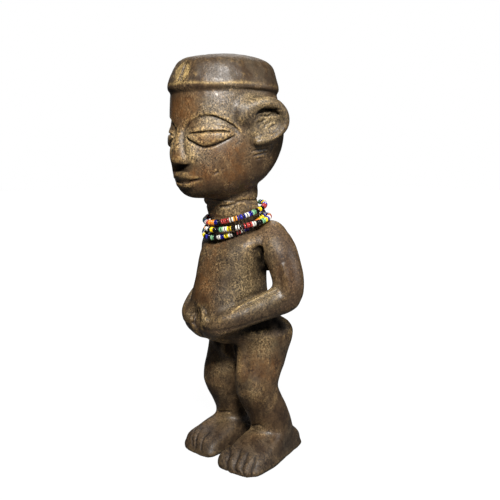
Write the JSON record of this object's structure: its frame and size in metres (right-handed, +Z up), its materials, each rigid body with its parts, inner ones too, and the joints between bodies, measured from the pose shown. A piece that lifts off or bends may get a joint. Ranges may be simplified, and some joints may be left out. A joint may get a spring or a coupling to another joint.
{
  "type": "carved fertility doll",
  "caption": "Standing hand-carved wooden fertility doll with hands on the belly, capped head, large ears and strands of small glass beads that turn loosely round the neck.",
  "frame": {"origin": "centre of the bounding box at the soles of the feet", "axes": "+Z up from the soles to the cap, the doll faces -Y, its left side is +X"},
  "size_m": [0.0864, 0.085, 0.25],
  "materials": {
    "carved_wood": "hand-carved dark wood with a worn satin patina",
    "thread": "dark twisted cotton",
    "bead_white": "glossy opaque glass",
    "bead_yellow": "glossy opaque glass",
    "bead_red": "glossy opaque glass",
    "bead_blue": "glossy opaque glass",
    "bead_green": "glossy opaque glass",
    "bead_black": "glossy opaque glass",
    "bead_orange": "glossy opaque glass"
  },
  "bodies": {
    "figure": {"carved_figure": "carved_wood"},
    "upper_loop": {"upper_thread": "thread"},
    "upper_bead_run": {"upper_white_beads": "bead_white", "upper_yellow_beads": "bead_yellow", "upper_red_beads": "bead_red", "upper_blue_beads": "bead_blue", "upper_green_beads": "bead_green", "upper_black_beads": "bead_black", "upper_orange_beads": "bead_orange"},
    "middle_loop": {"middle_thread": "thread"},
    "middle_bead_run": {"middle_white_beads": "bead_white", "middle_yellow_beads": "bead_yellow", "middle_red_beads": "bead_red", "middle_blue_beads": "bead_blue", "middle_green_beads": "bead_green", "middle_black_beads": "bead_black", "middle_orange_beads": "bead_orange"},
    "lower_loop": {"lower_thread": "thread"},
    "lower_bead_run": {"lower_white_beads": "bead_white", "lower_yellow_beads": "bead_yellow", "lower_red_beads": "bead_red", "lower_blue_beads": "bead_blue", "lower_green_beads": "bead_green", "lower_black_beads": "bead_black", "lower_orange_beads": "bead_orange"}
  },
  "joints": [
    {"name": "upper_strand_turn", "type": "hinge", "parent": "figure", "child": "upper_bead_run", "pos_m": [0, 0.0039, 0.1548], "axis": [-0.0667, -0.2924, 0.954], "continuous": true},
    {"name": "upper_thread_slide", "type": "hinge", "parent": "upper_bead_run", "child": "upper_loop", "pos_m": [0, 0.0039, 0.1548], "axis": [-0.0667, -0.2924, 0.954], "range_deg": [-7, 7]},
    {"name": "middle_strand_turn", "type": "hinge", "parent": "figure", "child": "middle_bead_run", "pos_m": [0.002, 0.0045, 0.1488], "axis": [-0.0514, -0.1908, 0.9803], "continuous": true},
    {"name": "middle_thread_slide", "type": "hinge", "parent": "middle_bead_run", "child": "middle_loop", "pos_m": [0.002, 0.0045, 0.1488], "axis": [-0.0514, -0.1908, 0.9803], "range_deg": [-7, 7]},
    {"name": "lower_strand_turn", "type": "hinge", "parent": "figure", "child": "lower_bead_run", "pos_m": [-0.002, 0.0045, 0.148], "axis": [-0.0319, -0.4067, 0.913], "continuous": true},
    {"name": "lower_thread_slide", "type": "hinge", "parent": "lower_bead_run", "child": "lower_loop", "pos_m": [-0.002, 0.0045, 0.148], "axis": [-0.0319, -0.4067, 0.913], "range_deg": [-7, 7]}
  ]
}
